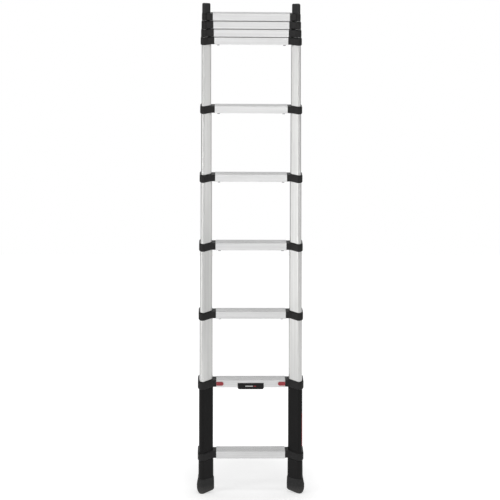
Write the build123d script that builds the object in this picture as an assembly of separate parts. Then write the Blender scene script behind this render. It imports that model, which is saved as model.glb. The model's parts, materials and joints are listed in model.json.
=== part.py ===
from build123d import *
import math
import os

# Telescoping ladder, ten rungs, standing on its feet with the stiles upright.
# +X runs across the ladder, +Y from the climber towards the wall, +Z up.
# Origin: on the standing surface, midway between the feet. Millimetres.

# Rung spacing
RUNG_PITCH = 300.0          # between the rungs of sections that are drawn out
BASE_PITCH = 311.3          # between the bottom rung and the control rung
STACK_PITCH = 35.1          # between the rungs of sections that are pushed in
BOTTOM_TREAD = 189.2        # height of the bottom rung's tread, at mid depth
SECTIONS = 8                # sliding sections above the fixed base section
DRAWN_OUT = 5               # how many of them are drawn out
TILT = 22.0                 # treads, collars and soles lean back by this angle
SLOPE = math.tan(math.radians(TILT))

# Stile tubes: a rounded triangle, with its narrow corner towards the rungs
STILE_X = 195.5             # middle of the base tube
BASE_WIDTH = 61.5
WEDGE = math.radians(35.0)  # half the angle of the narrow corner
INNER_RADIUS = 13.0         # narrow corner of the base tube
OUTER_RADIUS = 15.0         # two broad corners of the base tube
WALL = 1.3
NEST_STEP = 1.75            # wall and sliding gap, from one tube to the next
RADIUS_STEP = 1.11          # how much tighter each nested tube's corners are
TUBE_LENGTH = 370.0         # sliding tube, tread height to lower end
TUBE_TOP = -1.0             # tube's upper end, from the tread
RUNNING_GAP = 0.3

# Collars: a barrel-shaped ring round the top of each tube, with a neck that takes the rung
COLLAR_WALL = 4.6
BASE_COLLAR_WALL = 5.4
COLLAR_TOP = 0.6            # above the tread
COLLAR_HEIGHT = 34.7
COLLAR_ROUNDING = 5.6       # of the ring's upper and lower rims
NECK = 14.15                # from the tube to the end of the neck
NECK_DEPTH = 39.0
NECK_HEIGHT = 30.4
NECK_TOP = -0.5
NECK_EDGE = 4.0
SPIGOT = 8.0                # plug on the neck, inside the rung

# Rungs
RUNG_DEPTH = 41.0
RUNG_HEIGHT = 31.4
RUNG_WALL = 2.2
RUNG_EDGE = 1.0
RUNG_INNER_EDGE = 0.9
GROOVES = 8
GROOVE_PITCH = 4.2
GROOVE_WIDTH = 1.8
GROOVE_DEPTH = 0.9

# Guide bush on the lower end of each sliding tube
BUSH_HEIGHT = 12.0
BUSH_SPIGOT = 20.0
BUSH_WALL = 2.0
BUSH_PROUD = 0.2

# Locks
PIN_DIAMETER = 8.0
PIN_LENGTH = 27.5
PIN_TIP = 1.0
PIN_GAP = 0.25
PIN_LEVEL = -RUNG_HEIGHT / 2
TRIGGER_INSET = 17.0        # from the end of the neck to the trigger's middle
TRIGGER_WIDTH = 11.0
TRIGGER_DEPTH = 8.0
TRIGGER_Y = -13.8
TRIGGER_DROP = 3.4          # how far it stands out below the rung
TRIGGER_RISE = 7.0          # how far it reaches up inside the rung
TRIGGER_TRAVEL = 3.1        # how far the rung below presses it in
TRIGGER_EDGE = 1.3

# Release sliders on the control rung
SLIDER_LENGTH = 31.0
SLIDER_HEIGHT = 16.5
SLIDER_PROUD = 4.0
SLIDER_DROP = 14.5          # its middle, below the front edge of the tread
SLIDER_TRAVEL = 12.0
SLIDER_CORNER = 7.9         # round end, away from the neck
SLIDER_EDGE = 1.2
RIDGES = 5                  # grip grooves across the slider
RIDGE_PITCH = 4.0
RIDGE_WIDTH = 1.4
RIDGE_MARGIN = 2.5          # left plain above and below the grooves
STEM_LENGTH = 8.0
STEM_HEIGHT = 6.0
STEM_INSET = 9.0            # from the end of the neck
CLAMP_DEPTH = 12.0          # holder of the release pin, inside the rung
CLAMP_TOP = 9.5             # below the tread
RELEASE_PIN_LENGTH = 45.0

# Badge plate on the control rung
BADGE_LENGTH = 114.0
BADGE_HEIGHT = 27.0
BADGE_THICKNESS = 2.5
BADGE_DROP = 11.5           # its upper edge, below the front edge of the tread
BADGE_CORNER = 8.0
BADGE_EDGE = 0.8

# Feet
SOCKET_TOP = 155.0          # upper end of the socket, at mid depth
SOCKET_WALL_TOP = 0.8
SOCKET_WALL_BOTTOM = 2.8
BOOT_WALL = 7.1             # round the base tube's outline, at the boot's widest
BOOT_WAIST_WALL = 4.6       # the same at its waist
BOOT_RIM_WALL = 3.2         # the same above its rim
BOOT_SPLAY = 1.8            # how far the widest part stands outwards
BOOT_SHOULDER = 26.0        # from the sole to the widest part, at mid depth
BOOT_WAIST = 46.0
BOOT_HEIGHT = 54.5
BOOT_RIM_SLOPE = 0.2        # the rim leans back less than the sole
BOOT_FLOOR = 12.0
SOLE_EDGE = 5.0
HEEL_WIDTH = 22.0           # rounding of the outer side, up from the sole
HEEL_HEIGHT = 32.0
BOOT_LIP = 0.8

# End caps
CAP_WALL = 3.2
CAP_TOP = 41.7              # above the top rung's tread, at mid depth
CAP_SLOPE = 0.3             # the roof leans back less than the treads
CAP_ROOF = 9.0
CAP_EDGE = 5.6

FAR = 80.0                  # half size of the blocks that trim parts at a slant
OVERCUT = 1.0               # how far a bore or slot is cut past a surface


def tread_height(level):
    """Height of the tread at the top of a tube. Level 0 is the base section."""
    base = BOTTOM_TREAD + BASE_PITCH
    return base + RUNG_PITCH * min(level, DRAWN_OUT) + STACK_PITCH * max(0, level - DRAWN_OUT)


def inner_reach(level):
    """Distance from the stile's middle to the tube's narrow corner."""
    step = NEST_STEP / math.sin(WEDGE) - RADIUS_STEP * (1 / math.sin(WEDGE) - 1)
    return BASE_WIDTH / 2 - step * level


def stile_face(level, offset=0.0):
    """Section through a tube's outside, grown by offset, about the stile's middle."""
    outer_r = OUTER_RADIUS - RADIUS_STEP * level + offset
    inner_r = INNER_RADIUS - RADIUS_STEP * level + offset
    outer_x = BASE_WIDTH / 2 - NEST_STEP * level + offset - outer_r
    inner_x = inner_r - offset - inner_reach(level)
    side = inner_r - inner_x * math.sin(WEDGE)
    outer_y = (side - outer_r + outer_x * math.sin(WEDGE)) / math.cos(WEDGE)
    nx, ny = math.sin(WEDGE), math.cos(WEDGE)
    face_x = outer_x + outer_r
    front = (outer_x - outer_r * nx, -outer_y - outer_r * ny)
    neck = (inner_x - inner_r * nx, -inner_r * ny)
    broad = math.radians(45) - WEDGE / 2
    front_mid = (outer_x + outer_r * math.sin(broad), -outer_y - outer_r * math.cos(broad))
    edges = [
        Line((face_x, -outer_y), (face_x, outer_y)),
        ThreePointArc((face_x, outer_y), (front_mid[0], -front_mid[1]), (front[0], -front[1])),
        Line((front[0], -front[1]), (neck[0], -neck[1])),
        ThreePointArc((neck[0], -neck[1]), (inner_x - inner_r, 0), neck),
        Line(neck, front),
        ThreePointArc(front, front_mid, (face_x, -outer_y)),
    ]
    return make_face(Wire(edges))


def stile_bar(level, offset, low, high):
    """Upright bar with a tube's outline, between two heights."""
    return extrude(Pos(0, 0, low) * stile_face(level, offset), high - low)


def slanted_block(top, bottom, top_slope=SLOPE, bottom_slope=SLOPE):
    """Block that trims parts: its top and bottom lean like the treads, unless told otherwise."""
    rise, low = FAR * top_slope, FAR * bottom_slope
    outline = Polyline(
        (-FAR, bottom - low), (FAR, bottom + low), (FAR, top + rise), (-FAR, top - rise), close=True
    )
    return extrude(Plane.YZ * make_face(outline), FAR, both=True)


def rung_outline(depth, height, top, edge):
    """End view of a rung: upright front and back, tread and underside leaning back."""
    y, rise = depth / 2, depth / 2 * SLOPE
    outline = Polyline(
        (-y, top - height - rise), (y, top - height + rise), (y, top + rise), (-y, top - rise), close=True
    )
    face = make_face(outline)
    return fillet(face.vertices(), edge)


def along_x(face, start, end):
    """Bar along X with this end view."""
    return extrude(Plane.YZ.offset(start) * face, end - start)


def side(right_hand):
    """Places a part made about the stile's middle on the right-hand stile."""
    return Pos(STILE_X, 0, 0) * right_hand


def pair(right_hand):
    """The part and its mirror image on the other stile."""
    return [right_hand, mirror(right_hand, Plane.YZ)]


def pin_bore(start, end, gap):
    """Hole for a lock pin, along X at mid height of the rung."""
    return Pos(start, 0, PIN_LEVEL) * Rot(0, 90, 0) * Cylinder(
        PIN_DIAMETER / 2 + gap, end - start, align=(Align.CENTER, Align.CENTER, Align.MIN)
    )


def tube(level, low, high):
    """Stile tube, from a flat lower end to a slanted upper end."""
    body = stile_bar(level, 0, low, high + FAR * SLOPE) - stile_bar(level, -WALL, low, high + FAR * SLOPE)
    return body & slanted_block(high, low, bottom_slope=0.0)


def base_tube():
    """Base tube, seated in its foot, open to the release pin at the control rung."""
    control = tread_height(0)
    body = tube(0, 0, control + TUBE_TOP) & slanted_block(control + FAR, foot_plane() + BOOT_FLOOR)
    bore = Pos(0, 0, control) * pin_bore(-inner_reach(0) - OVERCUT, 0, PIN_GAP)
    return side(body - bore)


def sliding_tube(level):
    """Sliding tube about its tread, with a lock hole low down and a pin bore at the rung."""
    body = tube(level, -TUBE_LENGTH + BUSH_HEIGHT, TUBE_TOP)
    bore = pin_bore(-inner_reach(level) - OVERCUT, 0, PIN_GAP)
    return side(body - bore - Pos(0, 0, -RUNG_PITCH) * bore)


def guide_bush(level):
    """Bush on a sliding tube's lower end: a flange that guides it and a spigot in its bore."""
    low = -TUBE_LENGTH
    shoulder = low + BUSH_HEIGHT
    flange = stile_bar(level, BUSH_PROUD, low, shoulder)
    spigot = stile_bar(level, -WALL, shoulder, shoulder + BUSH_SPIGOT)
    bore = stile_bar(level, -WALL - BUSH_WALL, low, shoulder + BUSH_SPIGOT)
    return side(flange + spigot - bore)


def neck_end(level):
    """X of the face where a rung meets its neck."""
    return STILE_X - inner_reach(level) - NECK


def collar(level, wall, lip=True):
    """Ring and neck at the top of a tube, with a lip over the tube's end."""
    low = COLLAR_TOP - COLLAR_HEIGHT
    ring = stile_bar(level, wall, low - FAR * SLOPE, COLLAR_TOP + FAR * SLOPE)
    ring &= slanted_block(COLLAR_TOP, low)
    rims = ring.edges() - ring.edges().filter_by(Axis.Z)
    ring = fillet(rims, COLLAR_ROUNDING)
    neck_face = rung_outline(NECK_DEPTH, NECK_HEIGHT, NECK_TOP, NECK_EDGE)
    neck = along_x(neck_face, -inner_reach(level) - NECK, 0)
    spigot_face = rung_outline(
        RUNG_DEPTH - 2 * RUNG_WALL, RUNG_HEIGHT - 2 * RUNG_WALL, -RUNG_WALL, RUNG_INNER_EDGE
    )
    start = -inner_reach(level) - NECK
    spigot = along_x(spigot_face, start - SPIGOT, start)
    body = ring + neck + spigot
    bore = stile_bar(level, 0, low - FAR, COLLAR_TOP + FAR)
    if lip:
        body -= bore & slanted_block(TUBE_TOP, low - FAR)
        body -= stile_bar(level + 1, RUNNING_GAP, low - FAR, COLLAR_TOP + FAR)
    else:
        body -= bore
    return body


def locking_collar(level, wall):
    """Collar with a bore for the lock pin of the section above."""
    body = collar(level, wall)
    return side(body - pin_bore(-inner_reach(level) - NECK - SPIGOT - OVERCUT, 0, PIN_GAP))


def rung(level):
    """Hollow rung between two necks, with grooves along its tread."""
    end = neck_end(level)
    outside = rung_outline(RUNG_DEPTH, RUNG_HEIGHT, 0, RUNG_EDGE)
    inside = rung_outline(
        RUNG_DEPTH - 2 * RUNG_WALL, RUNG_HEIGHT - 2 * RUNG_WALL, -RUNG_WALL, RUNG_INNER_EDGE
    )
    section = outside - inside
    for i in range(GROOVES):
        y = (i - (GROOVES - 1) / 2) * GROOVE_PITCH
        section -= Pos(y, y * SLOPE) * Rot(0, 0, TILT) * Rectangle(GROOVE_WIDTH, 2 * GROOVE_DEPTH)
    return along_x(section, -end, end)


def pressed_in(level):
    """How far a rung's trigger and lock pins stand moved in, by the rung below."""
    return TRIGGER_TRAVEL if level > DRAWN_OUT else 0.0


def trigger_x(level):
    """X of the middle of the right-hand trigger under a rung."""
    return neck_end(level) - TRIGGER_INSET


def trigger_bar(gap, top, bottom):
    """Upright bar with a trigger's outline, trimmed at a slant, about the trigger's middle."""
    bar = Pos(0, TRIGGER_Y, 0) * Box(TRIGGER_WIDTH + 2 * gap, TRIGGER_DEPTH + 2 * gap, 2 * FAR)
    return bar & slanted_block(top, bottom)


def trigger(level):
    """Trigger under the right-hand end of a rung, rounded where it stands out."""
    body = trigger_bar(0, -RUNG_HEIGHT + TRIGGER_RISE, -RUNG_HEIGHT - TRIGGER_DROP)
    lowest = body.faces().sort_by(Axis.Z)[0]
    return Pos(trigger_x(level), 0, pressed_in(level)) * fillet(lowest.edges(), TRIGGER_EDGE)


def trigger_slot(level):
    """Slot through the underside of a rung for its trigger."""
    top = -RUNG_HEIGHT + RUNG_WALL + OVERCUT
    return Pos(trigger_x(level), 0, 0) * trigger_bar(RUNNING_GAP, top, -RUNG_HEIGHT - OVERCUT)


def lock_pin(level):
    """Lock pin in the right-hand end of a rung, just short of the tube that it locks."""
    tip = STILE_X - inner_reach(level + 1) - RUNNING_GAP
    return pin(tip - pressed_in(level), PIN_LENGTH)


def pin(tip, length):
    """Round pin along X with a bevelled tip."""
    body = Pos(tip - length, 0, PIN_LEVEL) * Rot(0, 90, 0) * Cylinder(
        PIN_DIAMETER / 2, length, align=(Align.CENTER, Align.CENTER, Align.MIN)
    )
    end = body.faces().sort_by(Axis.X)[-1]
    return chamfer(end.edges(), PIN_TIP)


def slider_middle():
    """X and Z of a release slider's middle, from the control rung's tread."""
    x = neck_end(0) - RUNNING_GAP - SLIDER_LENGTH / 2
    return x, -RUNG_DEPTH / 2 * SLOPE - SLIDER_DROP


def stem_middle():
    """X of the middle of a release slider's stem."""
    return neck_end(0) - STEM_INSET - STEM_LENGTH / 2


def release_slider():
    """Thumb slider on the front of the control rung, with a stem through its slot."""
    x, z = slider_middle()
    front = -RUNG_DEPTH / 2 - RUNNING_GAP
    plate = Pos(x, front - SLIDER_PROUD / 2, z) * Box(SLIDER_LENGTH, SLIDER_PROUD, SLIDER_HEIGHT)
    round_end = [e for e in plate.edges().filter_by(Axis.Y) if e.center().X < x]
    plate = fillet(round_end, SLIDER_CORNER)
    face = plate.faces().sort_by(Axis.Y)[0]
    plate = fillet(face.edges(), SLIDER_EDGE)
    ridge = Box(RIDGE_WIDTH, RIDGE_WIDTH, SLIDER_HEIGHT - 2 * RIDGE_MARGIN)
    for i in range(RIDGES):
        ridge_x = x + (i - (RIDGES - 1) / 2) * RIDGE_PITCH
        plate -= Pos(ridge_x, front - SLIDER_PROUD, z) * ridge
    reach = -CLAMP_DEPTH / 2 - front
    stem = Pos(stem_middle(), front + reach / 2, z) * Box(STEM_LENGTH, reach, STEM_HEIGHT)
    clamp = Pos(stem_middle(), 0, (z - CLAMP_TOP) / 2) * Box(STEM_LENGTH, CLAMP_DEPTH, -CLAMP_TOP - z)
    return plate + stem + clamp - pin_bore(0, STILE_X, 0)


def slider_slot():
    """Slot in the front of the control rung for the slider's stem and its travel."""
    z = slider_middle()[1]
    length = STEM_LENGTH + SLIDER_TRAVEL + 2 * RUNNING_GAP
    return Pos(stem_middle() - SLIDER_TRAVEL / 2, -RUNG_DEPTH / 2, z) * Box(
        length, 4 * RUNG_WALL, STEM_HEIGHT + 2 * RUNNING_GAP
    )


def badge_plate():
    """Plate on the front of the control rung, hanging a little below it."""
    z = -RUNG_DEPTH / 2 * SLOPE - BADGE_DROP - BADGE_HEIGHT / 2
    plate = Pos(0, -RUNG_DEPTH / 2 - BADGE_THICKNESS / 2, z) * Box(
        BADGE_LENGTH, BADGE_THICKNESS, BADGE_HEIGHT
    )
    low = [e for e in plate.edges().filter_by(Axis.Y) if e.center().Z < z]
    plate = fillet(low, BADGE_CORNER)
    return fillet(plate.faces().sort_by(Axis.Y)[0].edges(), BADGE_EDGE)


def foot_plane():
    """Height of the sole at mid depth, so that its rounded front edge touches the floor."""
    radius = OUTER_RADIUS + BOOT_WALL
    outer_x = BASE_WIDTH / 2 - OUTER_RADIUS
    side_distance = INNER_RADIUS + (BASE_WIDTH / 2 - INNER_RADIUS) * math.sin(WEDGE)
    outer_y = (side_distance - OUTER_RADIUS + outer_x * math.sin(WEDGE)) / math.cos(WEDGE)
    edge_lift = SOLE_EDGE * (SLOPE + 1 / math.cos(math.radians(TILT)) - 1)
    return (outer_y + radius) * SLOPE - edge_lift


def socket_form():
    """Outside of the foot socket, closed, about the stile's middle."""
    wide = stile_face(0, SOCKET_WALL_BOTTOM)
    narrow = Pos(0, 0, SOCKET_TOP + FAR) * stile_face(0, SOCKET_WALL_TOP)
    return loft([wide, narrow], ruled=True) & slanted_block(SOCKET_TOP, foot_plane() + BOOT_FLOOR)


def foot_socket():
    """Tapered plastic socket between the base tube and the boot."""
    return side(socket_form() - stile_bar(0, 0, -FAR, SOCKET_TOP + FAR))


def heel_block():
    """Block that rounds the boot's outer side towards the floor."""
    outer = BASE_WIDTH / 2 + BOOT_WALL + BOOT_SPLAY
    heel = EllipticalCenterArc((outer - HEEL_WIDTH, HEEL_HEIGHT), HEEL_WIDTH, HEEL_HEIGHT, -90, arc_size=90)
    rest = Polyline((outer, HEEL_HEIGHT), (outer, 2 * FAR), (-FAR, 2 * FAR), (-FAR, 0), heel @ 0)
    return extrude(Plane.XZ * make_face(Wire([heel, *rest.edges()])), FAR, both=True)


def boot():
    """Rubber boot, widest low down, with a sole that is level when the ladder leans."""
    sole = foot_plane()
    rim = sole + BOOT_HEIGHT
    widest = Pos(BOOT_SPLAY, 0, sole + BOOT_SHOULDER) * stile_face(0, BOOT_WALL)
    waist = Pos(0, 0, sole + BOOT_WAIST) * stile_face(0, BOOT_WAIST_WALL)
    top = Pos(0, 0, rim + FAR * BOOT_RIM_SLOPE) * stile_face(0, BOOT_RIM_WALL)
    body = loft([widest, waist, top], ruled=True) + extrude(widest, -FAR)
    body &= slanted_block(rim, sole, top_slope=BOOT_RIM_SLOPE)
    body = fillet(body.faces().sort_by(Axis.Z)[0].edges(), SOLE_EDGE)
    body = fillet(body.faces().sort_by(Axis.Z)[-1].edges(), BOOT_LIP)
    return side((body & heel_block()) - socket_form())


def end_cap():
    """Cap over the top of the upper tube, resting on its collar, with a rounded roof."""
    top = SECTIONS
    body = stile_bar(top, CAP_WALL, COLLAR_TOP - FAR, FAR)
    body &= slanted_block(CAP_TOP, COLLAR_TOP, top_slope=CAP_SLOPE)
    body = fillet(body.faces().sort_by(Axis.Z)[-1].edges(), CAP_EDGE)
    return side(body - stile_bar(top, 0, -FAR, CAP_TOP - CAP_ROOF))


def top_tube():
    """Upper tube, which runs on above its rung into the end cap."""
    level = SECTIONS
    high = CAP_TOP - CAP_ROOF
    low = -TUBE_LENGTH + BUSH_HEIGHT
    body = stile_bar(level, 0, low, high) - stile_bar(level, -WALL, low, high)
    body -= Pos(0, 0, -RUNG_PITCH) * pin_bore(-inner_reach(level) - OVERCUT, 0, PIN_GAP)
    return side(body)


def write(name, solids, height=0.0):
    """Writes one node, moved up to its height."""
    moved = [Pos(0, 0, height) * solid for solid in solids]
    shape = moved[0] if len(moved) == 1 else Compound(children=moved)
    shape.label = name
    export_step(shape, f"parts/{name}.step")


def write_sides(name, right_hand, height=0.0):
    """Writes the left and right pieces as separate nodes."""
    right, left = pair(right_hand)
    write(f"left_{name}", [left], height)
    write(f"right_{name}", [right], height)


def write_base():
    """Base section: fixed stiles, feet, bottom rung and control rung."""
    control = tread_height(0)
    write_sides("base_tube", base_tube())
    write_sides("foot", boot())
    write("foot_sockets", pair(foot_socket()))
    write("bottom_rung", [rung(0)], BOTTOM_TREAD)
    write("bottom_collars", pair(side(collar(0, BASE_COLLAR_WALL, lip=False))), BOTTOM_TREAD)
    slots = pair(slider_slot())
    write("control_rung", [rung(0) - slots[0] - slots[1]], control)
    write("control_collars", pair(locking_collar(0, BASE_COLLAR_WALL)), control)
    write("badge_plate", [badge_plate()], control)
    write_sides("release_slider", release_slider(), control)
    tip = STILE_X - inner_reach(1) - RUNNING_GAP
    write_sides("release_pin", pin(tip, RELEASE_PIN_LENGTH), control)


def write_section(level):
    """One sliding section: two tubes, a rung, collars, bushes, triggers and lock pins."""
    name = f"section_{level + 1}"
    height = tread_height(level)
    step = rung(level)
    if level == SECTIONS:
        write(f"{name}_tubes", pair(top_tube()), height)
        collars = pair(side(collar(level, COLLAR_WALL, lip=False)))
    else:
        write(f"{name}_tubes", pair(sliding_tube(level)), height)
        collars = pair(locking_collar(level, COLLAR_WALL))
        write(f"{name}_triggers", pair(trigger(level)), height)
        right, left = pair(lock_pin(level))
        write(f"{name}_left_lock_pin", [left], height)
        write(f"{name}_right_lock_pin", [right], height)
        for slot in pair(trigger_slot(level)):
            step -= slot
    write(f"{name}_rung", [step], height)
    write(f"{name}_collars", collars + pair(guide_bush(level)), height)


os.makedirs("parts", exist_ok=True)
write_base()
for number in range(1, SECTIONS + 1):
    write_section(number)
write("end_caps", pair(end_cap()), tread_height(SECTIONS))
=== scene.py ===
import json
import math

import bmesh
import bpy
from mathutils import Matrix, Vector


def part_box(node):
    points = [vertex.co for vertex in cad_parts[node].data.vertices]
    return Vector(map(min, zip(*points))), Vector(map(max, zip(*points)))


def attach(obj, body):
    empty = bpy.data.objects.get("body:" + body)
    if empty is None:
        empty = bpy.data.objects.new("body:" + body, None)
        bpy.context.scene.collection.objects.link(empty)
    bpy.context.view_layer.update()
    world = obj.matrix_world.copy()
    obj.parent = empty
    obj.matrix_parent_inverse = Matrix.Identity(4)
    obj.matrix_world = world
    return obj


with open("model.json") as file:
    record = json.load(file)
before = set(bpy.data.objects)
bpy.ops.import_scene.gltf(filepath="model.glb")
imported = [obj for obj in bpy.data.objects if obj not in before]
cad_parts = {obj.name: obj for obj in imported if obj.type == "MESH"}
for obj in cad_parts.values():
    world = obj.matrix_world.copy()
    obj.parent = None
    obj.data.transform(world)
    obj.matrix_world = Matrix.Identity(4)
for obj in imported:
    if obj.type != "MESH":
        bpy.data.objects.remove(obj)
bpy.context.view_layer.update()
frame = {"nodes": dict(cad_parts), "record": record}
NODES = frame["nodes"]

# Camera: a long lens a little left of the ladder's middle, at half the ladder's height
CAMERA_DISTANCE = 4.8
CAMERA_HEIGHT = 1.0631
CAMERA_YAW = 1.5            # degrees towards the left stile
CAMERA_ROLL = 0.10          # degrees, the ladder's top leans to the right in the picture
CAMERA_SIDE = -0.0038       # the ladder stands a little right of the picture's middle
LENS = 78.6
SENSOR_WIDTH = 36.0
VIEW_END = 200.0            # the floor is seen up to this distance

# Studio
FLOOR_SIZE = 400.0
WORLD_SEEN = 1.0            # the background that the camera sees
WORLD_LIGHT = 0.28          # the even light from all round
WORLD_TOP_LIGHT = 0.95      # the brighter backdrop above and behind the ladder
BACKDROP_AIM = (0.0, 0.707, 0.707)
BACKDROP_EDGE = 0.5         # cosine of the angle from its aim at which the backdrop begins
FLOOR_GLOW = 0.80           # keeps the far floor as white as the background
FLOOR_NEAR_GLOW = 0.50      # lower beside the feet: a painted shadow, where the real shadows also show
SHADOW_INNER = 0.12         # the floor begins to brighten this far from the shadow's middle
SHADOW_OUTER = 0.62         # and is at its brightest from here on
SHADOW_SQUEEZE = 0.42       # depth counts less than width, as the shadow is long in depth
SHADOW_SHIFT = -0.083       # puts the shadow's middle 0.2 m behind the ladder

# Wear, dust, and painted shade lines under the stack's collars
LEAN = 0.404                # slope of the collars and treads, which rise towards the back
STACK_PITCH = 0.0351        # from one collar to the next in the closed stack
STACK_LINE = 2.0001         # height of the lowest painted shade line, at the middle of a tube's depth
STACK_LINES = 3
# width and dark colour of the painted shade lines in the gaps under the stack's collars
LINE_WIDTH = 0.0017
GAP_SHADE_TONE = (0.006, 0.006, 0.006)
EDGE_START = 0.98           # cosine of the bevel's turn at which an edge begins to look worn
EDGE_FULL = 0.85            # and at which it is fully worn
DUST_HEIGHT = 0.035         # floor dust on the feet ends here
DUST_STRENGTH = 0.35
DUST_TONE = (0.13, 0.125, 0.12)

# Badge
BADGE_CORNER = 0.008
BORDER_CORNER = 0.001       # the two upper corners
BORDER_PROFILE = ((1.2, 0.0), (1.6, 0.5), (2.6, 0.5), (3.0, 0.0))   # inset and rise in mm
BAR_HEIGHT = 0.0042
BAR_CORNER = 0.0018
BAR_RISE = 0.0004
BAR_SOFTENING = 0.4         # share of a bar's rise that its softened edge takes up

# Red strip on the right base tube
STRIP_BOTTOM = 0.206
STRIP_TOP = 0.350
STRIP_WRAP = 38             # degrees round the front corner
STRIP_STEPS = 8             # pieces of the strip round the corner
STRIP_FLAT_STEPS = 6        # and along the tube's flat side
STRIP_LIFT = 0.00005        # the strip's underside clears the tube by this much
STRIP_FACE = 0.0003         # and its face stands this far out from the tube
TUBE_CORNER = 0.015         # radius of the base tube's broad corners


# ---------------------------------------------------------------- materials

class Shader:
    """A material's node tree with one Principled shader."""

    def __init__(self, name):
        self.material = bpy.data.materials.new(name)
        self.material.use_nodes = True
        self.tree = self.material.node_tree
        self.shader = self.tree.nodes["Principled BSDF"]
        self.where = self.tree.nodes.new("ShaderNodeTexCoord").outputs["Object"]

    def node(self, kind, **settings):
        """Adds a node and sets its properties."""
        made = self.tree.nodes.new(kind)
        for key, value in settings.items():
            setattr(made, key, value)
        return made

    def link(self, source, target):
        self.tree.links.new(source, target)

    def set(self, **values):
        """Sets the shader's own sockets, such as Roughness=0.4."""
        for key, value in values.items():
            self.shader.inputs[key.replace("_", " ")].default_value = value

    def stretched(self, x, y, z, shift=(0, 0, 0)):
        """Coordinates scaled along each axis, to stretch a pattern."""
        mapping = self.node("ShaderNodeMapping")
        mapping.inputs["Scale"].default_value = (x, y, z)
        mapping.inputs["Location"].default_value = shift
        self.link(self.where, mapping.inputs["Vector"])
        return mapping.outputs["Vector"]

    def noise(self, scale, detail=3.0, roughness=0.5, along=None):
        """A cloudy pattern from 0 to 1."""
        made = self.node("ShaderNodeTexNoise")
        made.inputs["Scale"].default_value = scale
        made.inputs["Detail"].default_value = detail
        made.inputs["Roughness"].default_value = roughness
        self.link(along or self.where, made.inputs["Vector"])
        return made.outputs["Fac"]

    def ramp(self, value, low, high, start=0.3, end=0.7):
        """Colours or greys between two values of a pattern."""
        made = self.node("ShaderNodeValToRGB")
        made.color_ramp.elements[0].position = start
        made.color_ramp.elements[1].position = end
        made.color_ramp.elements[0].color = grey(low)
        made.color_ramp.elements[1].color = grey(high)
        self.link(value, made.inputs["Fac"])
        return made.outputs["Color"]

    def mix(self, factor, a, b, blend="MIX"):
        """Mixes two colours; each may be a socket or a plain colour."""
        made = self.node("ShaderNodeMix", data_type="RGBA", blend_type=blend)
        put(self, made.inputs["Factor"], factor)
        put(self, made.inputs[6], a)
        put(self, made.inputs[7], b)
        return made.outputs[2]

    def bump(self, height, distance, strength):
        """Raises the surface by a pattern."""
        made = self.node("ShaderNodeBump")
        made.inputs["Strength"].default_value = strength
        made.inputs["Distance"].default_value = distance
        self.link(height, made.inputs["Height"])
        self.link(made.outputs["Normal"], self.shader.inputs["Normal"])

    def colour(self, socket):
        self.link(socket, self.shader.inputs["Base Color"])

    def roughness(self, socket):
        self.link(socket, self.shader.inputs["Roughness"])

    def math(self, operation, first, second, third=0.0):
        """One arithmetic node; each value may be a socket or a number."""
        made = self.node("ShaderNodeMath", operation=operation)
        for socket, value in zip(made.inputs, (first, second, third)):
            put(self, socket, value)
        return made.outputs[0]

    def painted_gap_shade(self, tone, dark):
        """Painted shade: dark lines on the tubes just under each collar of the closed stack, where
        the gaps between the collars are shaded.
        """
        place = self.node("ShaderNodeSeparateXYZ")
        self.link(self.where, place.inputs[0])
        level = self.math("MULTIPLY_ADD", place.outputs["Y"], -LEAN, place.outputs["Z"])
        count = self.math("MULTIPLY_ADD", level, 1 / STACK_PITCH, -STACK_LINE / STACK_PITCH)
        near = self.math("LESS_THAN", self.math("FRACT", count, 0.0), LINE_WIDTH / STACK_PITCH)
        above = self.math("GREATER_THAN", count, 0.0)
        below = self.math("LESS_THAN", count, STACK_LINES)
        line = self.math("MULTIPLY", near, self.math("MULTIPLY", above, below))
        return self.mix(line, tone, dark)

    def edges(self, size):
        """White along worn edges, black elsewhere, from a bevelled normal."""
        bevel = self.node("ShaderNodeBevel", samples=4)
        bevel.inputs["Radius"].default_value = size
        flat = self.node("ShaderNodeNewGeometry").outputs["Normal"]
        dot = self.node("ShaderNodeVectorMath", operation="DOT_PRODUCT")
        self.link(bevel.outputs["Normal"], dot.inputs[0])
        self.link(flat, dot.inputs[1])
        ramp = self.node("ShaderNodeMapRange")
        ramp.inputs["From Min"].default_value = EDGE_START
        ramp.inputs["From Max"].default_value = EDGE_FULL
        self.link(dot.outputs["Value"], ramp.inputs["Value"])
        return ramp.outputs["Result"]


def grey(value):
    """A colour from one number or from three."""
    if isinstance(value, (int, float)):
        value = (value, value, value)
    return (*value[:3], 1.0)


def put(shader, socket, value):
    """Links a socket or sets a plain value."""
    if isinstance(value, bpy.types.NodeSocket):
        shader.link(value, socket)
    elif socket.type == "RGBA":
        socket.default_value = grey(value)
    else:
        socket.default_value = value


def brushed_aluminium(name, low, high, along, metallic, roughness, gap_shaded=False):
    """Anodised extrusion: fine draw lines along one axis, soft clouds, bright edges."""
    s = Shader(name)
    across = 900.0
    stretch = {"X": (4, across, across), "Z": (across, across, 4)}[along]
    lines = s.noise(1.0, 2.0, 0.6, s.stretched(*stretch))
    broad = {"X": (1.5, 90, 90), "Z": (90, 90, 1.5)}[along]
    bands = s.noise(1.0, 3.0, 0.5, s.stretched(*broad))
    clouds = s.noise(9.0, 4.0, 0.6)
    tone = s.ramp(bands, low, high, 0.35, 0.65)
    tone = s.mix(0.22, tone, s.ramp(lines, 0.45, 0.95), "MULTIPLY")
    tone = s.mix(0.10, tone, s.ramp(clouds, 0.6, 1.0), "MULTIPLY")
    tone = s.mix(s.edges(0.0012), tone, [min(1, c * 1.15) for c in high])
    # painted shade: dark lines in the gaps under the stack's collars
    if gap_shaded:
        tone = s.painted_gap_shade(tone, GAP_SHADE_TONE)
    s.colour(tone)
    s.roughness(s.ramp(lines, *roughness))
    s.set(Metallic=metallic, Specular_IOR_Level=0.5, Anisotropic=0.4)
    s.bump(lines, 0.00004, 0.5)
    return s.material


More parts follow.
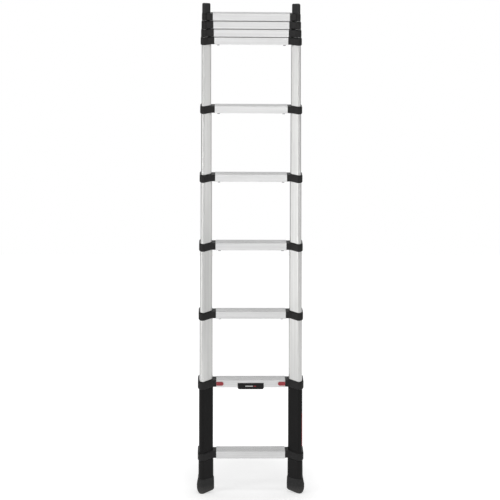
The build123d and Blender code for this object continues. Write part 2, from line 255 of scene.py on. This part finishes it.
def black_coat(name, colour):
    """Powder coat: fine orange peel, a little dust, edges worn lighter."""
    s = Shader(name)
    peel = s.noise(650.0, 2.0, 0.5)
    clouds = s.noise(14.0, 4.0, 0.6)
    dust = s.noise(55.0, 5.0, 0.65)
    tone = s.mix(s.ramp(dust, 0.0, 0.3, 0.5, 0.8), colour, [c * 1.8 + 0.003 for c in colour])
    tone = s.mix(s.edges(0.001), tone, [c * 2 + 0.01 for c in colour])
    s.colour(tone)
    s.roughness(s.ramp(clouds, 0.3, 0.42))
    s.set(Specular_IOR_Level=0.16)
    s.bump(peel, 0.0001, 0.3)
    return s.material


def moulded_plastic(name, colour, roughness, grain, worn, gloss):
    """Moulded plastic: spark-eroded grain, flow marks and lighter handled edges."""
    s = Shader(name)
    fine = s.noise(1400.0, 2.0, 0.5)
    flow = s.noise(1.0, 3.0, 0.6, s.stretched(30, 30, 12))
    tone = s.mix(s.ramp(flow, 0.0, 0.5, 0.35, 0.75), colour, [c * 1.35 for c in colour])
    tone = s.mix(s.edges(0.0009), tone, [min(1, c * worn + 0.004) for c in colour])
    s.colour(tone)
    s.roughness(s.ramp(flow, *roughness))
    s.set(Specular_IOR_Level=gloss)
    s.bump(fine, 0.00008, grain)
    return s.material


def foot_rubber(name, colour):
    """Matt rubber: soft grain, scuffs low down, floor dust near the sole."""
    s = Shader(name)
    grain = s.noise(900.0, 3.0, 0.6)
    scuff = s.noise(1.0, 4.0, 0.7, s.stretched(60, 60, 240))
    height = s.node("ShaderNodeSeparateXYZ")
    s.link(s.where, height.inputs[0])
    low = s.node("ShaderNodeMapRange")
    low.inputs["From Min"].default_value = DUST_HEIGHT
    low.inputs["From Max"].default_value = 0.0
    s.link(height.outputs["Z"], low.inputs["Value"])
    dusty = s.mix(s.ramp(scuff, 0.0, 0.35, 0.45, 0.75), colour, [c * 2.0 + 0.01 for c in colour])
    dust = s.math("MULTIPLY", low.outputs["Result"], DUST_STRENGTH)
    s.colour(s.mix(dust, dusty, DUST_TONE))
    s.roughness(s.ramp(grain, 0.62, 0.8))
    s.set(Specular_IOR_Level=0.35)
    s.bump(grain, 0.00015, 0.5)
    return s.material


def ground_steel(name):
    """Plain ground steel pin: rings of fine tool marks round its length."""
    s = Shader(name)
    marks = s.noise(1.0, 2.0, 0.5, s.stretched(2400, 6, 6))
    s.colour(s.ramp(marks, 0.42, 0.6))
    s.roughness(s.ramp(marks, 0.22, 0.36))
    s.set(Metallic=1.0)
    s.bump(marks, 0.00003, 0.5)
    return s.material


# slot: colour, roughness, grain, how much lighter its worn edges are, gloss
PLASTICS = {
    "collar_nylon": ((0.0085, 0.008, 0.008), (0.34, 0.48), 0.5, 1.3, 0.24),
    "socket_plastic": ((0.004, 0.0036, 0.0036), (0.3, 0.4), 0.3, 1.6, 0.18),
    "cap_plastic": ((0.012, 0.012, 0.0125), (0.42, 0.55), 0.5, 2.0, 0.3),
    "slider_red": ((0.29, 0.034, 0.043), (0.3, 0.42), 0.3, 1.15, 0.35),
    "badge_plastic": ((0.003, 0.0027, 0.003), (0.24, 0.34), 0.2, 2.0, 0.22),
    "trigger_plastic": ((0.008, 0.008, 0.0085), (0.42, 0.55), 0.5, 1.2, 0.15),
}
MATERIALS = {slot: moulded_plastic(slot, *look) for slot, look in PLASTICS.items()}
MATERIALS["black_stile"] = black_coat("black_stile", (0.003, 0.0027, 0.0027))
# the stiles' tubes carry the painted shade lines under the stack's collars
MATERIALS["stile_aluminium"] = brushed_aluminium(
    "stile_aluminium", (0.60, 0.60, 0.59), (0.68, 0.68, 0.67), "Z", 0.92, (0.3, 0.38), gap_shaded=True
)
MATERIALS["rung_aluminium"] = brushed_aluminium(
    "rung_aluminium", (0.70, 0.70, 0.70), (0.77, 0.77, 0.77), "X", 0.5, (0.42, 0.54)
)
MATERIALS["foot_rubber"] = foot_rubber("foot_rubber", (0.0165, 0.0165, 0.0165))
MATERIALS["pin_steel"] = ground_steel("pin_steel")


def paint_cad_nodes():
    """Gives each CAD node the material of its slot."""
    for part in frame["record"]["subparts"]:
        data = NODES[part["node"]].data
        data.materials.clear()
        data.materials.append(MATERIALS[part["material_slot"]])


# ---------------------------------------------------------------- studio

def make_camera():
    """Level camera at about half the ladder's height, a little on the left stile's side."""
    data = bpy.data.cameras.new("camera")
    data.lens = LENS
    data.sensor_width = SENSOR_WIDTH
    data.clip_end = VIEW_END
    camera = bpy.data.objects.new("camera", data)
    bpy.context.scene.collection.objects.link(camera)
    yaw = math.radians(CAMERA_YAW)
    side = Vector((math.cos(yaw), -math.sin(yaw), 0)) * CAMERA_SIDE
    back = Vector((-math.sin(yaw), -math.cos(yaw), 0)) * CAMERA_DISTANCE
    camera.location = back + side + Vector((0, 0, CAMERA_HEIGHT))
    camera.rotation_euler = (math.radians(90), 0, -yaw)
    camera.rotation_euler.rotate_axis("Z", math.radians(CAMERA_ROLL))
    bpy.context.scene.camera = camera


def make_world():
    """White surroundings, seen at full strength and lighting the ladder more softly."""
    world = bpy.data.worlds.new("studio")
    bpy.context.scene.world = world
    world.use_nodes = True
    tree = world.node_tree
    seen = tree.nodes["Background"]
    seen.inputs["Color"].default_value = grey(1.0)
    seen.inputs["Strength"].default_value = WORLD_SEEN
    light = tree.nodes.new("ShaderNodeBackground")
    light.inputs["Color"].default_value = grey(1.0)
    where = tree.nodes.new("ShaderNodeTexCoord")
    upward = tree.nodes.new("ShaderNodeVectorMath")
    upward.operation = "DOT_PRODUCT"
    upward.inputs[1].default_value = BACKDROP_AIM
    tree.links.new(where.outputs["Generated"], upward.inputs[0])
    backdrop = tree.nodes.new("ShaderNodeMapRange")
    backdrop.inputs["From Min"].default_value = BACKDROP_EDGE
    backdrop.inputs["To Min"].default_value = WORLD_LIGHT
    backdrop.inputs["To Max"].default_value = WORLD_TOP_LIGHT
    tree.links.new(upward.outputs["Value"], backdrop.inputs["Value"])
    tree.links.new(backdrop.outputs["Result"], light.inputs["Strength"])
    path = tree.nodes.new("ShaderNodeLightPath")
    mix = tree.nodes.new("ShaderNodeMixShader")
    tree.links.new(path.outputs["Is Camera Ray"], mix.inputs["Fac"])
    tree.links.new(light.outputs["Background"], mix.inputs[1])
    tree.links.new(seen.outputs["Background"], mix.inputs[2])
    tree.links.new(mix.outputs["Shader"], tree.nodes["World Output"].inputs["Surface"])


def area_light(name, where, aim, size, power):
    """Rectangular white light that faces the point it is aimed at."""
    data = bpy.data.lights.new(name, "AREA")
    data.shape = "RECTANGLE"
    data.size, data.size_y = size
    data.energy = power
    lamp = bpy.data.objects.new(name, data)
    bpy.context.scene.collection.objects.link(lamp)
    lamp.location = where
    lamp.rotation_euler = (Vector(aim) - Vector(where)).to_track_quat("-Z", "Y").to_euler()


def make_lights():
    """Soft key from the front left, fill from the front right, two in front and one above."""
    area_light("key", (-2.8, -2.2, 1.8), (0, 0, 1.05), (1.2, 2.6), 27)
    area_light("front", (0.6, -3.6, 2.3), (0, 0, 1.4), (0.7, 2.2), 15)
    area_light("high", (-0.5, -4.2, 3.1), (0, 0, 1.7), (1.4, 1.2), 6)
    area_light("fill", (3.2, -1.8, 2.2), (0, 0, 1.6), (1.2, 2.0), 12)
    area_light("top", (0.0, -1.6, 4.6), (0, 0, 1.2), (2.0, 1.2), 24)


def make_floor():
    """Plain pale floor, as bright as the background except round the feet, where a lower glow
    paints a shadow.
    """
    mesh = bpy.data.meshes.new("floor")
    half = FLOOR_SIZE / 2
    corners = [(-half, -half, 0), (half, -half, 0), (half, half, 0), (-half, half, 0)]
    mesh.from_pydata(corners, [], [(0, 1, 2, 3)])
    floor = bpy.data.objects.new("floor", mesh)
    bpy.context.scene.collection.objects.link(floor)
    s = Shader("floor")
    s.colour(s.ramp(s.noise(3.0, 3.0), 0.60, 0.62))
    s.set(Roughness=0.9, Specular_IOR_Level=0.1)
    s.set(Emission_Color=grey(1.0))
    # painted shadow: the floor's glow drops towards the feet
    away = s.node("ShaderNodeVectorMath", operation="LENGTH")
    s.link(s.stretched(1.0, SHADOW_SQUEEZE, 1.0, (0.0, SHADOW_SHIFT, 0.0)), away.inputs[0])
    painted_shadow_glow = s.node("ShaderNodeMapRange", interpolation_type="SMOOTHSTEP")
    painted_shadow_glow.inputs["From Min"].default_value = SHADOW_INNER
    painted_shadow_glow.inputs["From Max"].default_value = SHADOW_OUTER
    painted_shadow_glow.inputs["To Min"].default_value = FLOOR_NEAR_GLOW
    painted_shadow_glow.inputs["To Max"].default_value = FLOOR_GLOW
    s.link(away.outputs["Value"], painted_shadow_glow.inputs["Value"])
    s.link(painted_shadow_glow.outputs["Result"], s.shader.inputs["Emission Strength"])
    mesh.materials.append(s.material)


# ---------------------------------------------------------------- pieces

def new_piece(name, mesh, body, slot, material=None):
    """A mesh that rides on a body, with its slot's material."""
    piece = bpy.data.objects.new(name, mesh)
    bpy.context.scene.collection.objects.link(piece)
    mesh.materials.append(material or MATERIALS[slot])
    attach(piece, body)
    return piece


def finished_mesh(name, bm):
    """Turns a bmesh into a mesh with its faces pointing outwards."""
    bmesh.ops.recalc_face_normals(bm, faces=bm.faces)
    mesh = bpy.data.meshes.new(name)
    bm.to_mesh(mesh)
    bm.free()
    return mesh


def rounded_outline(width, height, corners, steps=6):
    """Points round a rectangle about its middle; corners gives the four radii from lower left."""
    w, h = width / 2, height / 2
    places = [(-w, -h, 180), (w, -h, 270), (w, h, 0), (-w, h, 90)]
    points = []
    for (x, z, start), radius in zip(places, corners):
        cx = x - math.copysign(radius, x)
        cz = z - math.copysign(radius, z)
        for i in range(steps + 1):
            angle = math.radians(start + 90 * i / steps)
            points.append((cx + radius * math.cos(angle), cz + radius * math.sin(angle)))
    return points


def loop_at(bm, points, centre, y):
    """Adds a closed ring of vertices that faces the climber, at depth y."""
    return [bm.verts.new((centre[0] + x, y, centre[1] + z)) for x, z in points]


def bridge(bm, one, other):
    """Joins two rings with as many vertices by quads."""
    for i in range(len(one)):
        j = (i + 1) % len(one)
        bm.faces.new((one[i], one[j], other[j], other[i]))


def raised_bar(name, centre, size, radius, face_y, height, material):
    """Low bar with rounded ends and softened edges, standing on an upright face."""
    bm = bmesh.new()
    width, tall = size
    soft = height * BAR_SOFTENING
    corners = [radius] * 4
    inner = [radius - soft] * 4
    outline = rounded_outline(width, tall, corners)
    shrunk = rounded_outline(width - 2 * soft, tall - 2 * soft, inner)
    base = loop_at(bm, outline, centre, face_y)
    shoulder = loop_at(bm, outline, centre, face_y - height + soft)
    top = loop_at(bm, shrunk, centre, face_y - height)
    bridge(bm, base, shoulder)
    bridge(bm, shoulder, top)
    bm.faces.new(top)
    bm.faces.new(base)
    return new_piece(name, finished_mesh(name, bm), "base", "badge_plastic", material)


def badge_details():
    """Raised border of the badge, with plain bars where the real one has its lettering."""
    low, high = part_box("badge_plate")
    width, height = high[0] - low[0], high[2] - low[2]
    centre = ((low[0] + high[0]) / 2, (low[2] + high[2]) / 2)
    face = low[1]
    bm = bmesh.new()
    rings = []
    for inset_mm, rise_mm in BORDER_PROFILE:
        inset = inset_mm / 1000
        corners = [BADGE_CORNER - inset, BADGE_CORNER - inset, BORDER_CORNER, BORDER_CORNER]
        outline = rounded_outline(width - 2 * inset, height - 2 * inset, corners)
        rings.append(loop_at(bm, outline, centre, face - rise_mm / 1000))
    for one, other in zip(rings, rings[1:]):
        bridge(bm, one, other)
    new_piece("badge_border", finished_mesh("badge_border", bm), "base", "badge_plastic")
    pale = moulded_plastic("badge_print_pale", (0.42, 0.42, 0.41), (0.35, 0.45), 0.15, 1.05, 0.3)
    red = moulded_plastic("badge_print_red", (0.22, 0.02, 0.024), (0.35, 0.45), 0.15, 1.05, 0.3)
    x, z = centre
    bars = (("badge_bar_pale", -0.007, 0.034, pale), ("badge_bar_red", 0.018, 0.011, red))
    for name, shift, bar_width, print_material in bars:
        size = (bar_width, BAR_HEIGHT)
        raised_bar(name, (x + shift, z), size, BAR_CORNER, face, BAR_RISE, print_material)


def stile_strip():
    """Plain red strip on the outer side of the right base tube, wrapped round its front corner."""
    low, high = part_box("right_base_tube")
    centre_x, centre_y = high[0] - TUBE_CORNER, low[1] + TUBE_CORNER
    flat = -2 * centre_y
    path = [(TUBE_CORNER, flat * i / STRIP_FLAT_STEPS) for i in range(STRIP_FLAT_STEPS, 0, -1)]
    for i in range(STRIP_STEPS + 1):
        angle = math.radians(-STRIP_WRAP * i / STRIP_STEPS)
        path.append((TUBE_CORNER * math.cos(angle), TUBE_CORNER * math.sin(angle)))
    bm = bmesh.new()
    shells = []
    for proud in (STRIP_LIFT, STRIP_FACE):
        shell = []
        for x, y in path:
            reach = math.hypot(x, min(y, 0.0))
            grow = (reach + proud) / reach
            at = (centre_x + x * grow, centre_y + (y if y > 0 else y * grow))
            shell.append([bm.verts.new((*at, z)) for z in (STRIP_BOTTOM, STRIP_TOP)])
        shells.append(shell)
    inner, outer = shells
    for i in range(len(path) - 1):
        bm.faces.new((outer[i][0], outer[i + 1][0], outer[i + 1][1], outer[i][1]))
        bm.faces.new((inner[i][1], inner[i + 1][1], inner[i + 1][0], inner[i][0]))
        for end in (0, 1):
            bm.faces.new((inner[i][end], inner[i + 1][end], outer[i + 1][end], outer[i][end]))
    for i in (0, -1):
        bm.faces.new((inner[i][0], inner[i][1], outer[i][1], outer[i][0]))
    new_piece("stile_strip", finished_mesh("stile_strip", bm), "base", "slider_red")


bpy.context.scene.view_settings.view_transform = "Standard"
make_camera()
make_world()
make_lights()
make_floor()
paint_cad_nodes()
badge_details()
stile_strip()
